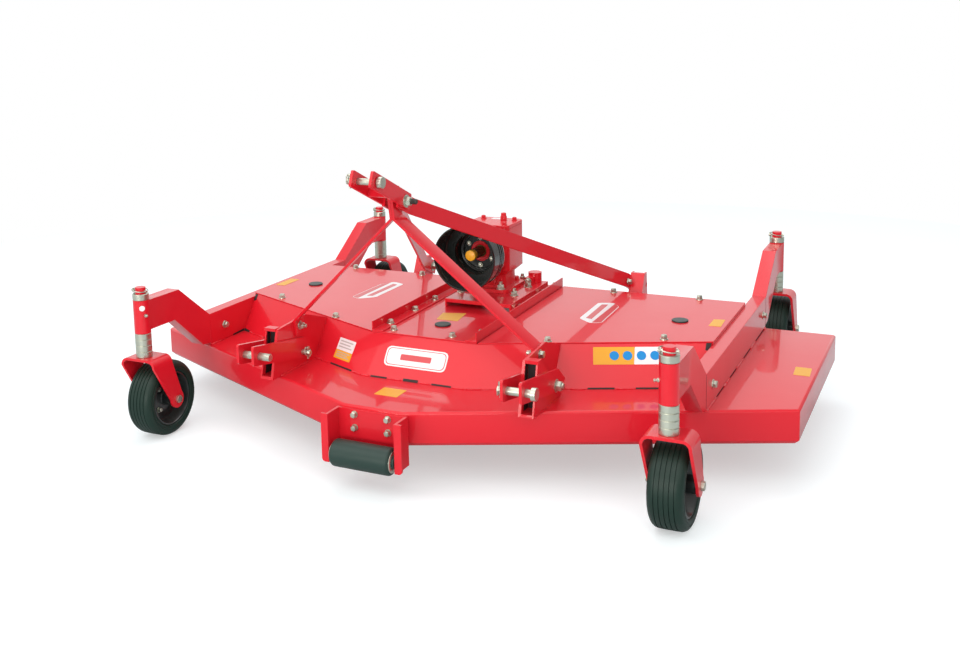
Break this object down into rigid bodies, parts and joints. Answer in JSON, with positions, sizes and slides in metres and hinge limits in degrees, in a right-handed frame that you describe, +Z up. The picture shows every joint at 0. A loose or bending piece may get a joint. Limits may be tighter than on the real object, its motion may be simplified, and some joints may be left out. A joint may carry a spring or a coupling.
{
  "type": "finishing mower",
  "caption": "Rear finishing mower for a tractor's three-point hitch: low sheet deck with belt covers, mast and braces, gearbox with guarded shaft, blades and trailing castors.",
  "frame": {"origin": "on the ground, at the middle of the machine's length and width", "axes": "+X to the machine's side (left when riding forward is -X seen from the front), +Y to the rear, away from the tractor, +Z up"},
  "size_m": [2.112, 1.812, 0.8799],
  "materials": {
    "red_paint": "gloss powder coat",
    "zinc_steel": "bright zinc plate",
    "tyre_rubber": "ribbed black rubber",
    "plug_rubber": "matt rubber",
    "black_steel": "satin black paint",
    "roller_plastic": "satin dark green",
    "guard_plastic": "semi-gloss black",
    "yellow_cap": "yellow cap",
    "blade_steel": "plain steel"
  },
  "bodies": {
    "chassis": {"belt_housing": "red_paint", "belt_tensioner": "red_paint", "castor_arm_front_left": "red_paint", "castor_arm_front_right": "red_paint", "castor_arm_rear_left": "red_paint", "castor_arm_rear_right": "red_paint", "cover_centre": "red_paint", "cover_left": "red_paint", "cover_right": "red_paint", "deck": "red_paint", "gearbox": "red_paint", "gearbox_lid": "red_paint", "gearbox_platform": "red_paint", "lower_hitch_left": "red_paint", "lower_hitch_right": "red_paint", "lower_pins": "zinc_steel", "mast_bolt": "zinc_steel", "mast_brace_left": "red_paint", "mast_brace_right": "red_paint", "mast_leg_left": "red_paint", "mast_leg_right": "red_paint", "pto_guard": "guard_plastic", "rail_left": "red_paint", "rail_right": "red_paint", "rear_brackets": "red_paint", "roller_axle": "zinc_steel", "roller_bracket": "red_paint", "rubber_plugs": "plug_rubber", "side_beam_left": "red_paint", "side_beam_right": "red_paint", "spindle_housings": "red_paint", "top_clevis": "red_paint", "top_pin": "zinc_steel"},
    "castor_front_left": {"castor_fork_front_left": "red_paint", "castor_axle_front_left": "zinc_steel", "castor_spacers_front_left": "zinc_steel"},
    "wheel_front_left": {"castor_rim_front_left": "black_steel", "castor_tyre_front_left": "tyre_rubber"},
    "castor_front_right": {"castor_fork_front_right": "red_paint", "castor_axle_front_right": "zinc_steel", "castor_spacers_front_right": "zinc_steel"},
    "wheel_front_right": {"castor_rim_front_right": "black_steel", "castor_tyre_front_right": "tyre_rubber"},
    "castor_rear_left": {"castor_fork_rear_left": "red_paint", "castor_axle_rear_left": "zinc_steel", "castor_spacers_rear_left": "zinc_steel"},
    "wheel_rear_left": {"castor_rim_rear_left": "black_steel", "castor_tyre_rear_left": "tyre_rubber"},
    "castor_rear_right": {"castor_fork_rear_right": "red_paint", "castor_axle_rear_right": "zinc_steel", "castor_spacers_rear_right": "zinc_steel"},
    "wheel_rear_right": {"castor_rim_rear_right": "black_steel", "castor_tyre_rear_right": "tyre_rubber"},
    "rotor_left": {"blade_left": "blade_steel"},
    "rotor_centre": {"blade_centre": "blade_steel"},
    "rotor_right": {"blade_right": "blade_steel"},
    "input_shaft": {"pto_shaft": "yellow_cap"},
    "nose_roller": {"roller": "roller_plastic"}
  },
  "joints": [
    {"name": "swivel_front_left", "type": "hinge", "parent": "chassis", "child": "castor_front_left", "pos_m": [-0.812, -0.793, 0.267], "axis": [0, 0, 1], "continuous": true},
    {"name": "wheel_spin_front_left", "type": "hinge", "parent": "castor_front_left", "child": "wheel_front_left", "pos_m": [-0.812, -0.725, 0.118], "axis": [1, 0, 0], "continuous": true},
    {"name": "swivel_front_right", "type": "hinge", "parent": "chassis", "child": "castor_front_right", "pos_m": [0.812, -0.793, 0.267], "axis": [0, 0, 1], "continuous": true},
    {"name": "wheel_spin_front_right", "type": "hinge", "parent": "castor_front_right", "child": "wheel_front_right", "pos_m": [0.812, -0.725, 0.118], "axis": [1, 0, 0], "continuous": true},
    {"name": "swivel_rear_left", "type": "hinge", "parent": "chassis", "child": "castor_rear_left", "pos_m": [-0.812, 0.72, 0.267], "axis": [0, 0, 1], "continuous": true},
    {"name": "wheel_spin_rear_left", "type": "hinge", "parent": "castor_rear_left", "child": "wheel_rear_left", "pos_m": [-0.812, 0.788, 0.118], "axis": [1, 0, 0], "continuous": true},
    {"name": "swivel_rear_right", "type": "hinge", "parent": "chassis", "child": "castor_rear_right", "pos_m": [0.812, 0.72, 0.267], "axis": [0, 0, 1], "continuous": true},
    {"name": "wheel_spin_rear_right", "type": "hinge", "parent": "castor_rear_right", "child": "wheel_rear_right", "pos_m": [0.812, 0.788, 0.118], "axis": [1, 0, 0], "continuous": true},
    {"name": "blade_spin_left", "type": "hinge", "parent": "chassis", "child": "rotor_left", "pos_m": [-0.655, -0.048, 0.15], "axis": [0, 0, 1], "continuous": true},
    {"name": "blade_spin_centre", "type": "hinge", "parent": "chassis", "child": "rotor_centre", "pos_m": [0, -0.359, 0.15], "axis": [0, 0, 1], "continuous": true},
    {"name": "blade_spin_right", "type": "hinge", "parent": "chassis", "child": "rotor_right", "pos_m": [0.655, -0.048, 0.15], "axis": [0, 0, 1], "continuous": true},
    {"name": "shaft_spin", "type": "hinge", "parent": "chassis", "child": "input_shaft", "pos_m": [0, -0.1, 0.512], "axis": [0, 1, 0], "continuous": true},
    {"name": "roller_spin", "type": "hinge", "parent": "chassis", "child": "nose_roller", "pos_m": [0, -0.868, 0.103], "axis": [1, 0, 0], "continuous": true}
  ],
  "couplings": [
    {"joint": "blade_spin_left", "follows": "blade_spin_centre", "ratio": 1},
    {"joint": "blade_spin_right", "follows": "blade_spin_centre", "ratio": 1},
    {"joint": "shaft_spin", "follows": "blade_spin_centre", "ratio": 0.2}
  ]
}
